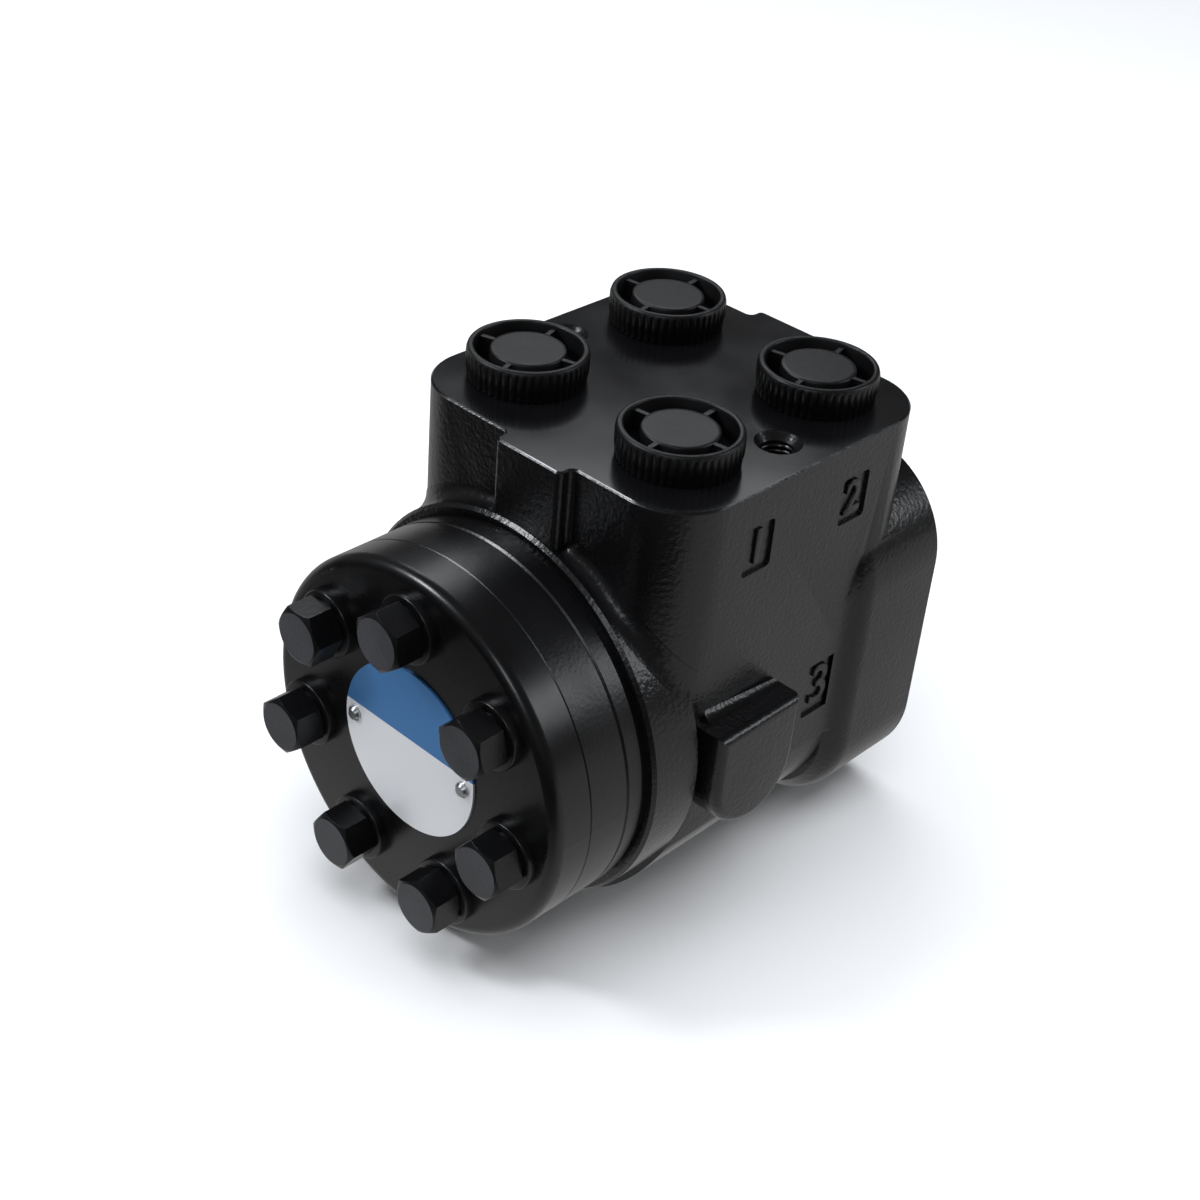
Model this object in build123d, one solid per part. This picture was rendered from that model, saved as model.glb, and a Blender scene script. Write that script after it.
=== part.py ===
"""Orbital steering unit: gerotor set, spool and sleeve, cardan drive and four port plugs.

Frame: millimetres. The origin is the middle of the column face, +Y points out of that face
along the shaft, +Z points to the port face. Everything inside the unit lies at negative Y.
"""
import os
from math import atan2, cos, degrees, hypot, pi, radians, sin, sqrt

from build123d import *

# ---- driving sizes of the stack, all in mm ----
LENGTH = 145.0  # column face to the outer face of the end cover
COVER_R = 52.0  # end cover, stator ring and spacer plate share this radius
COVER_T = 11.7  # end cover thickness
RING_T = 13.0  # stator ring thickness, sets the displacement
PLATE_T = 5.4  # spacer plate thickness
EDGE = 0.5  # small broken edge on turned parts

# ---- gerotor geometry ----
LOBES = 7  # internal lobes of the stator ring
LOBE_PITCH_R = COVER_R - 16.0  # circle through the lobe centres
LOBE_R = 8.0  # radius of one lobe
ORBIT = 3.0  # distance from the main axis to the rotor's centre
GEAR_GAP = 0.04  # running gap between rotor and lobes
FACE_GAP = 0.03  # running gap of a flat side of a turning part

# ---- cover bolts ----
BOLT_PITCH_R = LOBE_PITCH_R + 2.05  # circle through the seven cover bolts
BOLT_R = 5.0  # plain shank
BOLT_CLEAR = 0.25  # radial clearance of the shank in its holes
TAP_R = 4.25  # wall of a tapped M10 hole
TAP_GAP = 0.05  # the modelled thread core stays this far inside a tapped wall
BOLT_GRIP = 15.0  # thread engaged in the housing
HEAD_AF = 14.4  # across flats
HEAD_H = 8.9  # head height, with the collar
COLLAR_T = 0.7  # round bearing collar under the hexagon
HEAD_TURNS = (8, 14, 20, 2, 26, 10, 33)  # where each head stopped when it was tightened, degrees
WASHER_R = 9.2
WASHER_T = 2.6

# ---- housing casting ----
SPIGOT_R = COVER_R - 0.8  # machined front face of the housing
SPIGOT_T = 1.3
FLANGE_R = COVER_R + 2.6  # round cast flange behind the spigot
FLANGE_T = 16.7
BLOCK_LEFT = 46.5  # port block, -X side
BLOCK_RIGHT = 49.5  # port block, +X side
BLOCK_SETBACK = 6.7  # port block front wall behind the housing's machined front
BLOCK_BACK = -9.8  # port block back wall
BLOCK_CORNER = 17.0
PORT_FACE_Z = 75.0
BELLY_Z = 48.0  # underside of the body below the axis
BELLY_CORNER = 30.0
PAD_PROUD = 4.4  # middle pads stand out from the front and back walls
PAD_ROUND = 1.6  # radius of the pads' corners, inner and outer
FRONT_PAD = (-8.0, 14.2)  # X range of the front pad
BACK_PAD = (-14.0, 11.5)  # X range of the back pad
COLUMN_HALF_W = 53.5  # column flange slab, half width
COLUMN_HALF_H = 52.0  # column flange slab, half height
COLUMN_CORNER = 28.0
COLUMN_T = 36.0  # slab thickness
COLUMN_SLOPE = 5.0  # bevel where the slab rises out of the body
BOSS_OUT = 59.2  # valve boss face on the +X side
BOSS_Y = (-94.3, -63.6)
BOSS_TOP = 12.0
BOSS_BOTTOM = -20.2
BLEND = 4.0  # concave round between the flange and the port block
BOW = 0.3  # how far that round stands out from the crease, as a share of its size
RIM_EDGE = 0.5  # broken edge around the milled port face
MARK_DEPTH = 0.9  # pockets that the foundry's marks stand in
# the marks' pockets on the right wall: y, z, width, height
MARKS = [(-78.5, 58.0, 10.6, 13.6), (-41.0, 58.0, 10.6, 13.6), (-42.0, -0.5, 13.0, 17.0)]

# ---- ports and tapped holes ----
PORT_MID_Y = -57.8  # middle of the port pattern
PORT_DX = 52.3  # port spacing across
PORT_DY = 52.8  # port spacing along the shaft
PORT_R = 9.3  # wall of a tapped port
PORT_DEPTH = 16.0
PORT_SEAT_R = 11.2  # small chamfer at the mouth
PASSAGE_R = 4.5  # drilling below a port
PASSAGE_SHIFT = 4.1  # left passages lean one way along the shaft and right ones the other
PASSAGE_FLOOR = 11.0
GALLERY_DEPTH = 7.0  # ring galleries around the bore
GALLERY_W = 5.0
METER_OUT = 11.0  # metering drillings run this far outside the bore
METER_HOLE_R = 2.5
METER_Y = -60.0  # where they turn inward to the bore
STUD_HOLE_X = 37.0  # two tapped holes on the port face
STUD_HOLE_Y = -59.3
STUD_HOLE_DEPTH = 15.0
COLUMN_PCD = 82.5
COLUMN_HOLE_DEPTH = 18.0
TAP_MOUTH = 1.9  # chamfer at the mouth of a tapped hole in the port face
COLUMN_MOUTH = 0.4  # and in the column face

# ---- bore, sleeve, spool ----
SLEEVE_R = 19.0
SLEEVE_WALL = 5.0
SPOOL_R = SLEEVE_R - SLEEVE_WALL
GALLERY_R = SLEEVE_R + GALLERY_DEPTH
METER_R = SLEEVE_R + METER_OUT  # circle through the seven metering drillings
RUN_GAP = 0.02  # radial running clearance of spool, sleeve and bore
BORE_END = -10.5  # shoulder that the thrust bearing rests on
CAVITY_R = SPOOL_R - 3.5  # hollow of the spool around the cardan
NECK_R = SPOOL_R - 1.4  # spool neck through the seals
SPOOL_TAIL = -0.8  # neck end, just inside the column face
SPLINE_DEPTH = 16.2
CAVITY_END = -29.0
PIN_Y = -36.0
PIN_R = 4.0
PIN_GAP = 0.02
SPOOL_SWING = 8.0  # degrees that the spool can lead or lag the sleeve
SPRING_Y = (-26.5, -20.5)
SPRING_SLOT = 4.6  # slot width for the spring pack
SPRING_SHEET = 0.55
RING_DEPTH = 1.5  # depth of the groove around the spring ring
# rows of holes in the sleeve: y, count, radius
HOLE_ROWS = [(-60.0, 12, 1.6), (-70.0, 6, 2.2), (-89.0, 6, 1.8), (-79.4, 6, 1.8), (-49.0, 6, 1.8)]
POCKETS = [(-86.0, -62.0, 0.0), (-68.0, -47.0, 30.0)]  # milled pockets of the spool: y from, y to, turn
POCKET_W = 4.0
POCKET_DEEP = 1.2
NOSE_GROOVE_Y = (-106.0, -102.0)
THROUGH = 60.0  # long enough to cut right through the sleeve

# ---- thrust bearing and seals ----
RACE_OUTER_T = 2.8
NEEDLE_R = 1.0
RACE_INNER_T = 1.0
NEEDLES = 20
BEARING_IN_R = NECK_R + 0.8
BEARING_OUT_R = SLEEVE_R - 0.2
NEEDLE_MID_R = (BEARING_IN_R + BEARING_OUT_R) / 2
NEEDLE_LONG = BEARING_OUT_R - BEARING_IN_R - 1.4
SEAL_POCKET_R = NECK_R + 4.2
SEAL_POCKET_T = 4.0
DUST_POCKET_R = NECK_R + 4.4
DUST_POCKET_T = 4.0
SHAFT_HOLE_R = NECK_R + 0.4

# ---- cardan ----
FORK_R = CAVITY_R - 1.9
CARDAN_R = FORK_R - 2.1
PLATE_HOLE_R = CARDAN_R + 2 * ORBIT  # the cardan passes through the spacer plate here
FORK_REACH = 5.0  # ears past the pin's centre
TEETH = 12
HEAD_SETBACK = 8.0  # middle of the crowned head behind the ring's front face
HEAD_T = 8.8
TOOTH_TIP = NECK_R - 1.9
TOOTH_ROOT = TOOTH_TIP - 1.3
TOOTH_GAP = 0.27  # flank and tip gap that lets the head tilt
SLOT_GAP = 0.34  # lets the fork tilt on the pin
DISC_R = TOOTH_ROOT - 0.3
DISC_T = 3.0

# ---- plugs ----
PLUG_R = 15.85
PLUG_H = 8.6
PLUG_RIM = 1.9
PLUG_CORE_R = 9.2
PLUG_WELL = 6.6
PLUG_STEM = 12.0
PLUG_GAP = 0.05
PLUG_RIB = 1.3
PLUG_DROP = 0.7  # the middle disc sits this far below the rim
PLUG_TURNS = (17, 6, 12, 8)  # how far round each plug was pushed in, degrees

# ---- name plate ----
LABEL_R = 23.7
LABEL_T = 0.6
LABEL_AT = (0.4, 0.9)
RIVET_X = 20.15
RIVET_SHANK_R = 0.98
RIVET_FIT = 0.02
RIVET_R = 2.1
RIVET_H = 1.3

# ---- O-rings ----
ORING_R = COVER_R - 3.6
ORING_WIRE = 0.85
ORING_GROOVE_T = 1.75

# ---- stations that follow from the sizes above ----
COVER_FACE = -LENGTH
RING_FACE = COVER_FACE + COVER_T
PLATE_FACE = RING_FACE + RING_T
HOUSING_FACE = PLATE_FACE + PLATE_T
BLOCK_FRONT = HOUSING_FACE + BLOCK_SETBACK
HEAD_Y = RING_FACE + HEAD_SETBACK
BOLT_ANGLES = [i * 360.0 / LOBES for i in range(LOBES)]
VALLEY_ANGLES = [(i + 0.5) * 360.0 / LOBES for i in range(LOBES)]
TILT = degrees(atan2(ORBIT, PIN_Y - HEAD_Y))
BEARING_END = BORE_END - RACE_OUTER_T - 2 * NEEDLE_R - RACE_INNER_T
SLEEVE_TAIL = BEARING_END - 0.1
SPOOL_SHOULDER = SLEEVE_TAIL - 0.2
PORTS = [
    (-PORT_DX / 2, PORT_MID_Y - PORT_DY / 2),
    (PORT_DX / 2, PORT_MID_Y - PORT_DY / 2),
    (PORT_DX / 2, PORT_MID_Y + PORT_DY / 2),
    (-PORT_DX / 2, PORT_MID_Y + PORT_DY / 2),
]


def rod(radius, y0, y1, x=0.0, z=0.0):
    """A cylinder along Y."""
    return Pos(x, (y0 + y1) / 2, z) * Rot(90, 0, 0) * Cylinder(radius, y1 - y0)


def tube(outer, inner, y0, y1):
    return rod(outer, y0, y1) - rod(inner, y0 - 1, y1 + 1)


def cone(r_front, r_back, y0, y1, x=0.0, z=0.0):
    """A cone along Y, r_front at y0 and r_back at y1."""
    return Pos(x, (y0 + y1) / 2, z) * Rot(-90, 0, 0) * Cone(r_front, r_back, y1 - y0)


def stalk(radius, z0, z1, x, y):
    """A cylinder along Z."""
    return Pos(x, y, (z0 + z1) / 2) * Cylinder(radius, z1 - z0)


def brick(x0, x1, y0, y1, z0, z1):
    return Pos((x0 + x1) / 2, (y0 + y1) / 2, (z0 + z1) / 2) * Box(x1 - x0, y1 - y0, z1 - z0)


def around(angle, radius):
    """X and Z of a point at this angle from +Z, turning towards +X."""
    return radius * sin(radians(angle)), radius * cos(radians(angle))


def across(sketch, y0, y1):
    """Extrude a sketch drawn in X and Z from y0 to y1."""
    return extrude(Plane.XZ.offset(-y0) * sketch, amount=-(y1 - y0))


def outline(points, y0, y1):
    """Extrude a closed straight-sided outline of (x, z) points."""
    return across(make_face(Polyline(*points, close=True)), y0, y1)


def arc_outline(points, y0, y1):
    """Extrude a closed outline of arcs, each through three points in turn."""
    arcs = []
    for i in range(0, len(points), 2):
        arcs.append(ThreePointArc(points[i], points[i + 1], points[(i + 2) % len(points)]))
    return across(make_face(arcs), y0, y1)


def spline_points(tip, root, tip_half, root_half):
    """Straight-sided teeth: half angles in degrees at the tip and at the root."""
    points = []
    for i in range(TEETH):
        middle = i * 360.0 / TEETH
        points.append(around(middle - root_half, root))
        points.append(around(middle - tip_half, tip))
        points.append(around(middle + tip_half, tip))
        points.append(around(middle + root_half, root))
    return points


def outer_teeth():
    return spline_points(TOOTH_TIP, TOOTH_ROOT, 4.6, 8.2)


def inner_teeth(gap):
    turn = degrees(gap / TOOTH_ROOT)
    return spline_points(TOOTH_TIP + gap, TOOTH_ROOT + gap, 4.6 + turn, 8.2 + turn)


def tapped_holes_y(pitch_r, angles, y0, y1, radius):
    holes = []
    for angle in angles:
        x, z = around(angle, pitch_r)
        holes.append(rod(radius, y0, y1, x, z))
    return holes


def rectangle(x0, x1, y0, y1):
    return Pos((x0 + x1) / 2, (y0 + y1) / 2) * Rectangle(x1 - x0, y1 - y0)


def blend_bar(side_wall, x_start, size):
    """The concave round where the flange's rim meets the front wall and one corner of the block.

    Sections stand across the crease from x_start out to the side wall and are lofted together.
    """
    way = 1 if side_wall > 0 else -1
    corner_x = side_wall - way * BLOCK_CORNER
    corner_y = BLOCK_FRONT + BLOCK_CORNER
    end_y = HOUSING_FACE + SPIGOT_T + FLANGE_T - 0.6
    end_x = corner_x + way * sqrt(BLOCK_CORNER ** 2 - (end_y - corner_y) ** 2)
    sections = []
    for step in range(9):
        x = x_start + (end_x - x_start) * sin(step / 8 * pi / 2)
        past = max(way * (x - corner_x), 0.0)
        wall = Vector(way * past / BLOCK_CORNER, -sqrt(1 - (past / BLOCK_CORNER) ** 2), 0)
        crease = Vector(x, corner_y + wall.Y * BLOCK_CORNER, sqrt(FLANGE_R ** 2 - x ** 2))
        rim = Vector(x, 0, crease.Z) / FLANGE_R
        along = wall.cross(rim).normalized()
        on_rim = along.cross(rim).normalized()
        on_rim = on_rim if on_rim.dot(wall) > 0 else -on_rim
        on_wall = along.cross(wall).normalized()
        on_wall = on_wall if on_wall.dot(rim) > 0 else -on_wall
        a = crease + on_rim * size
        b = crease + on_wall * size
        root = crease - (wall + rim).normalized() * 1.5
        middle = crease + (on_rim + on_wall) * size * BOW
        edges = [ThreePointArc(a, middle, b), Polyline(b, b - wall, root, a - rim, a)]
        sections.append(make_face(edges))
    return loft(sections)


def squeezed_ring(y0, y1):
    """An O-ring pressed flat between its groove's floor and the next face."""
    ring = tube(ORING_R + ORING_WIRE, ORING_R - ORING_WIRE, y0, y1)
    return chamfer(ring.edges(), ORING_WIRE * 0.55)


# ---- end cover: turned disc, rounded outer edge, seven bolt holes, O-ring groove ----
end_cover = rod(COVER_R, COVER_FACE, RING_FACE)
end_cover = fillet(end_cover.edges().group_by(Axis.Y)[0], 3.0)
for hole in tapped_holes_y(BOLT_PITCH_R, BOLT_ANGLES, COVER_FACE - 1, RING_FACE + 1, BOLT_R + BOLT_CLEAR):
    end_cover -= hole
cover_groove = tube(ORING_R + ORING_WIRE + 0.1, ORING_R - ORING_WIRE - 0.1,
                    RING_FACE - ORING_GROOVE_T, RING_FACE)
end_cover -= cover_groove
for side in (-1, 1):
    end_cover -= rod(RIVET_SHANK_R + RIVET_FIT, COVER_FACE - 1, COVER_FACE + 4,
                     LABEL_AT[0] + side * RIVET_X, LABEL_AT[1])

# ---- stator ring: seven lobes on the inside, one behind each bolt ----
valley_r = LOBE_PITCH_R - LOBE_R + 2 * ORBIT + GEAR_GAP
stator_ring = tube(COVER_R, valley_r, RING_FACE, PLATE_FACE)
for angle in BOLT_ANGLES:
    x, z = around(angle, LOBE_PITCH_R)
    stator_ring += rod(LOBE_R, RING_FACE, PLATE_FACE, x, z)
for hole in tapped_holes_y(BOLT_PITCH_R, BOLT_ANGLES, RING_FACE - 1, PLATE_FACE + 1, BOLT_R + BOLT_CLEAR):
    stator_ring -= hole
stator_ring = chamfer(stator_ring.edges().filter_by(lambda e: e.geom_type == GeomType.CIRCLE
                                                    and e.radius > COVER_R - 0.01), EDGE)

# ---- spacer plate: seven chamber holes and the hole the cardan passes through ----
spacer_plate = tube(COVER_R, PLATE_HOLE_R, PLATE_FACE, HOUSING_FACE)
for hole in tapped_holes_y(BOLT_PITCH_R, BOLT_ANGLES, PLATE_FACE - 1, HOUSING_FACE + 1, BOLT_R + BOLT_CLEAR):
    spacer_plate -= hole
for hole in tapped_holes_y(METER_R, VALLEY_ANGLES, PLATE_FACE - 1, HOUSING_FACE + 1, METER_HOLE_R):
    spacer_plate -= hole
plate_groove = tube(ORING_R + ORING_WIRE + 0.1, ORING_R - ORING_WIRE - 0.1,
                    PLATE_FACE, PLATE_FACE + ORING_GROOVE_T)
spacer_plate -= plate_groove
spacer_plate = chamfer(spacer_plate.edges().filter_by(lambda e: e.geom_type == GeomType.CIRCLE
                                                      and e.radius > COVER_R - 0.01), EDGE)

# ---- rotor: six lobes, conjugate to the stator, with the internal spline ----
rotor_points = []
RATIO = LOBE_PITCH_R / (ORBIT * LOBES)
REACH = LOBE_R + GEAR_GAP
STEPS = 144
for step in range(STEPS):
    t = 2 * pi * step / STEPS
    lean = atan2(sin((1 - LOBES) * t), RATIO - cos((1 - LOBES) * t))
    p = LOBE_PITCH_R * cos(t) - REACH * cos(t + lean) - ORBIT * cos(LOBES * t)
    q = -LOBE_PITCH_R * sin(t) + REACH * sin(t + lean) + ORBIT * sin(LOBES * t)
    rotor_points.append((q, p))
rotor = arc_outline(rotor_points, RING_FACE + FACE_GAP, PLATE_FACE - FACE_GAP)
rotor -= outline(inner_teeth(TOOTH_GAP), RING_FACE - 1, PLATE_FACE + 1)
rotor = Pos(0, 0, ORBIT) * rotor

# ---- loose disc in the rotor's spline bore, between the cover and the cardan ----
disc_front = RING_FACE + FACE_GAP
orbit_spacer = rod(DISC_R, disc_front, disc_front + DISC_T, 0, ORBIT)
orbit_spacer = chamfer(orbit_spacer.edges(), EDGE)

# ---- cardan: toothed head in the rotor, fork on the cross pin, laid on its own tilted axis ----
head_half = HEAD_T / 2
pin_from_head = hypot(PIN_Y - HEAD_Y, ORBIT)
cardan = outline(outer_teeth(), -head_half, head_half)
crown_front = cone(TOOTH_TIP - 1.4, TOOTH_TIP + 0.2, -head_half, -head_half + 1.6)
crown_back = cone(TOOTH_TIP + 0.2, TOOTH_TIP - 1.4, head_half - 1.6, head_half)
crown_mid = rod(TOOTH_TIP + 0.2, -head_half + 1.6, head_half - 1.6)
cardan = cardan & (crown_front + crown_mid + crown_back)
cardan += cone(TOOTH_ROOT - 1.0, CARDAN_R, head_half - 0.5, head_half + 4)
cardan += rod(CARDAN_R, head_half, pin_from_head - 12)
cardan += cone(CARDAN_R, FORK_R, pin_from_head - 14, pin_from_head - 9)
cardan += rod(FORK_R, pin_from_head - 9, pin_from_head + FORK_REACH)
slot_half = PIN_R + SLOT_GAP
cardan -= brick(-THROUGH / 2, THROUGH / 2, pin_from_head, pin_from_head + THROUGH, -slot_half, slot_half)
slot_floor = Pos(0, pin_from_head, 0) * Rot(0, 90, 0) * Cylinder(slot_half, THROUGH)
cardan -= slot_floor
cardan = Pos(0, HEAD_Y, ORBIT) * Rot(-TILT, 0, 0) * cardan

# ---- sleeve: metering holes, spring slot, ring groove, pin hole ----
sleeve_front = HOUSING_FACE + 0.15
sleeve = tube(SLEEVE_R, SPOOL_R + RUN_GAP, sleeve_front, SLEEVE_TAIL)
sleeve -= Pos(0, PIN_Y, 0) * Rot(0, 90, 0) * Cylinder(PIN_R + PIN_GAP, THROUGH)
sleeve -= brick(-SPRING_SLOT / 2, SPRING_SLOT / 2, SPRING_Y[0], SPRING_Y[1],
                -THROUGH / 2, THROUGH / 2)
sleeve -= tube(SLEEVE_R + 1, SLEEVE_R - RING_DEPTH, SPRING_Y[0] - 0.3, SPRING_Y[1] + 0.3)
wall_middle = SLEEVE_R - SLEEVE_WALL / 2
for row, (y, count, radius) in enumerate(HOLE_ROWS):
    for i in range(count):
        angle = i * 360.0 / count + row * 7.5
        outward = Pos(0, y, 0) * Rot(0, angle, 0) * Pos(0, 0, wall_middle)
        sleeve -= outward * Cylinder(radius, 2 * SLEEVE_WALL - 1)

# ---- spring ring around the sleeve ----
spring_ring = tube(SLEEVE_R - 0.1, SLEEVE_R - RING_DEPTH + 0.1, SPRING_Y[0] - 0.2, SPRING_Y[1] + 0.2)

# ---- spool: cavity, wide pin holes, milled pockets, neck with the input spline ----
spool_front = HOUSING_FACE + 0.4
spool = rod(SPOOL_R, spool_front, SPOOL_SHOULDER)
spool += rod(NECK_R, SPOOL_SHOULDER - 1, SPOOL_TAIL)
spool -= rod(CAVITY_R, spool_front - 1, CAVITY_END)
spool -= outline(inner_teeth(TOOTH_GAP / 3), SPOOL_TAIL - SPLINE_DEPTH, SPOOL_TAIL + 1)
spool -= cone(TOOTH_ROOT + 1.4, TOOTH_TIP + 1.0, SPOOL_TAIL - 1.0, SPOOL_TAIL + 0.01)
wide_hole = PIN_R + SPOOL_R * sin(radians(SPOOL_SWING)) + 0.15
spool -= Pos(0, PIN_Y, 0) * Rot(0, 90, 0) * Cylinder(wide_hole, THROUGH)
spool -= brick(-SPRING_SLOT / 2, SPRING_SLOT / 2, SPRING_Y[0], SPRING_Y[1],
                -THROUGH / 2, THROUGH / 2)
for i in range(6):
    for (y0, y1, turn) in POCKETS:
        pocket = Pos(0, (y0 + y1) / 2, 0) * Rot(0, i * 60.0 + turn, 0)
        spool -= pocket * Pos(0, 0, SPOOL_R) * Box(POCKET_W, y1 - y0, 2 * POCKET_DEEP)
spool -= tube(SPOOL_R + 1, SPOOL_R - POCKET_DEEP, NOSE_GROOVE_Y[0], NOSE_GROOVE_Y[1])

# ---- cross pin ----
pin_half = SLEEVE_R - RING_DEPTH
cross_pin = Pos(0, PIN_Y, 0) * Rot(0, 90, 0) * Cylinder(PIN_R, 2 * pin_half)
cross_pin = chamfer(cross_pin.edges().filter_by(GeomType.CIRCLE), EDGE)

# ---- centring springs: two flat leaves and four bowed ones across the slot ----
leaf_half = SLEEVE_R - RING_DEPTH - 0.3
leaves = []
for side in (-1, 1):
    inner = 0.02 if side > 0 else -0.02 - SPRING_SHEET
    leaves.append(brick(inner, inner + SPRING_SHEET, SPRING_Y[0] + 0.2, SPRING_Y[1] - 0.2,
                        -leaf_half, leaf_half))
    start = 0.04 + SPRING_SHEET
    bow = SPRING_SLOT / 2 - 0.05 - start - SPRING_SHEET
    low = []
    high = []
    for step in range(13):
        z = -leaf_half + 2 * leaf_half * step / 12
        x = start + bow * (z / leaf_half) ** 2
        low.append((side * x, z))
        high.append((side * (x + SPRING_SHEET), z))
    leaves.append(outline(low + high[::-1], SPRING_Y[0] + 0.2, SPRING_Y[1] - 0.2))
leaf_springs = Compound(children=leaves)

# ---- thrust bearing ----
race_outer = tube(BEARING_OUT_R, BEARING_IN_R, BORE_END - RACE_OUTER_T, BORE_END)
needle_front = BORE_END - RACE_OUTER_T - 2 * NEEDLE_R
race_inner = tube(BEARING_OUT_R, BEARING_IN_R, BEARING_END, needle_front)
needle_mid = needle_front + NEEDLE_R
cage = tube(BEARING_OUT_R - 0.1, BEARING_IN_R + 0.1, needle_mid - 0.6, needle_mid + 0.6)
needles = []
for i in range(NEEDLES):
    place = Pos(0, needle_mid, 0) * Rot(0, i * 360.0 / NEEDLES, 0) * Pos(0, 0, NEEDLE_MID_R)
    cage -= place * Box(2 * NEEDLE_R + 0.1, 4 * NEEDLE_R, NEEDLE_LONG + 0.1)
    needles.append(place * Cylinder(NEEDLE_R - 0.01, NEEDLE_LONG))
needle_set = Compound(children=needles)

# ---- shaft seal and dust seal ----
seal_back = BORE_END + SEAL_POCKET_T
shaft_seal = tube(SEAL_POCKET_R - 0.05, NECK_R + 0.02, BORE_END + 0.1, seal_back - 0.1)
dust_seal = tube(DUST_POCKET_R - 0.05, NECK_R + 0.03, -DUST_POCKET_T + 0.1, -0.3)
dust_seal -= cone(NECK_R + 0.03, NECK_R + 1.6, -1.8, 0.0)

# ---- housing casting ----
plan = fillet(rectangle(-BLOCK_LEFT, BLOCK_RIGHT, BLOCK_FRONT, BLOCK_BACK).vertices(), BLOCK_CORNER)
plan += rectangle(FRONT_PAD[0], FRONT_PAD[1], BLOCK_FRONT - PAD_PROUD, BLOCK_FRONT + 5)
plan += rectangle(BACK_PAD[0], BACK_PAD[1], BLOCK_BACK - 5, BLOCK_BACK + PAD_PROUD)
pad_sides = [v for v in plan.vertices() if min(abs(v.X - x) for x in FRONT_PAD + BACK_PAD) < 0.01]
plan = fillet(pad_sides, PAD_ROUND)
block = Pos(0, 0, -BELLY_Z) * extrude(plan, amount=BELLY_Z + PORT_FACE_Z)
block = chamfer(block.faces().sort_by(Axis.Z)[-1].edges(), RIM_EDGE)
belly_keep = brick(-BLOCK_LEFT, BLOCK_RIGHT, BLOCK_FRONT - 5, BLOCK_BACK + 5, -BELLY_Z, PORT_FACE_Z)
belly_keep = fillet(belly_keep.edges().filter_by(Axis.Y).group_by(Axis.Z)[0], BELLY_CORNER)
block = block & belly_keep
flange_front = HOUSING_FACE + SPIGOT_T
flange = rod(FLANGE_R, flange_front, flange_front + FLANGE_T)
flange = chamfer(flange.edges(), 0.9)
spigot = rod(SPIGOT_R, HOUSING_FACE, flange_front + 2)
slab_sketch = RectangleRounded(2 * COLUMN_HALF_W, 2 * COLUMN_HALF_H, COLUMN_CORNER)
slab = across(slab_sketch, -COLUMN_T, 0)
slab = chamfer(slab.edges().group_by(Axis.Y)[0], COLUMN_SLOPE, COLUMN_SLOPE * 0.9)
slab = chamfer(slab.edges().group_by(Axis.Y)[-1], 1.2)
boss_mid = (BOSS_Y[0] + BOSS_Y[1]) / 2
boss_r = (BOSS_Y[1] - BOSS_Y[0]) / 2
boss = brick(30, BOSS_OUT, BOSS_Y[0], BOSS_Y[1], BOSS_BOTTOM + boss_r, BOSS_TOP)
boss_round = Rot(0, 90, 0) * Cylinder(boss_r, BOSS_OUT - 30)
boss += Pos((30 + BOSS_OUT) / 2, boss_mid, BOSS_BOTTOM + boss_r) * boss_round
boss = fillet(boss.edges().group_by(Axis.X)[-1], 2.5)
housing = block + flange + spigot + slab + boss
housing += blend_bar(BLOCK_RIGHT, FRONT_PAD[1] + PAD_ROUND / 2, BLEND)
housing += blend_bar(-BLOCK_LEFT, FRONT_PAD[0] - PAD_ROUND / 2, BLEND)
for (y, z, width, height) in MARKS:
    pocket = brick(BLOCK_RIGHT - MARK_DEPTH, BLOCK_RIGHT + 1, y - width / 2, y + width / 2,
                   z - height / 2, z + height / 2)
    housing -= fillet(pocket.edges().filter_by(Axis.X), 1.2)

# machined hollows of the housing
housing -= rod(SLEEVE_R + RUN_GAP, HOUSING_FACE - 1, BORE_END)
housing -= rod(SEAL_POCKET_R, BORE_END - 1, seal_back)
housing -= rod(SHAFT_HOLE_R, BORE_END, 1)
housing -= rod(DUST_POCKET_R, -DUST_POCKET_T, 1)
housing -= tube(ORING_R + ORING_WIRE + 0.1, ORING_R - ORING_WIRE - 0.1,
                HOUSING_FACE, HOUSING_FACE + ORING_GROOVE_T)
for hole in tapped_holes_y(BOLT_PITCH_R, BOLT_ANGLES, HOUSING_FACE - 1, HOUSING_FACE + BOLT_GRIP + 4, TAP_R):
    housing -= hole
meter_end = METER_Y + METER_HOLE_R + 1.5
for hole in tapped_holes_y(METER_R, VALLEY_ANGLES, HOUSING_FACE - 1, meter_end, METER_HOLE_R):
    housing -= hole
for angle in VALLEY_ANGLES:
    inward = Pos(0, METER_Y, 0) * Rot(0, angle, 0) * Pos(0, 0, (METER_R + SLEEVE_R) / 2 - 1)
    housing -= inward * Cylinder(METER_HOLE_R, METER_R - SLEEVE_R + 2)
for (x, y) in PORTS:
    side = 1 if x > 0 else -1
    inward = 1 if y < PORT_MID_Y else -1
    passage_y = y + side * inward * PASSAGE_SHIFT
    housing -= stalk(PORT_R, PORT_FACE_Z - PORT_DEPTH, PORT_FACE_Z + 1, x, y)
    mouth = Pos(x, y, PORT_FACE_Z - 0.9) * Cone(PORT_R, PORT_SEAT_R, 1.8)
    housing -= mouth
    housing -= stalk(PASSAGE_R, PASSAGE_FLOOR, PORT_FACE_Z - PORT_DEPTH + 1, x, passage_y)
    housing -= tube(GALLERY_R, SLEEVE_R - 1, passage_y - GALLERY_W / 2, passage_y + GALLERY_W / 2)
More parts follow.
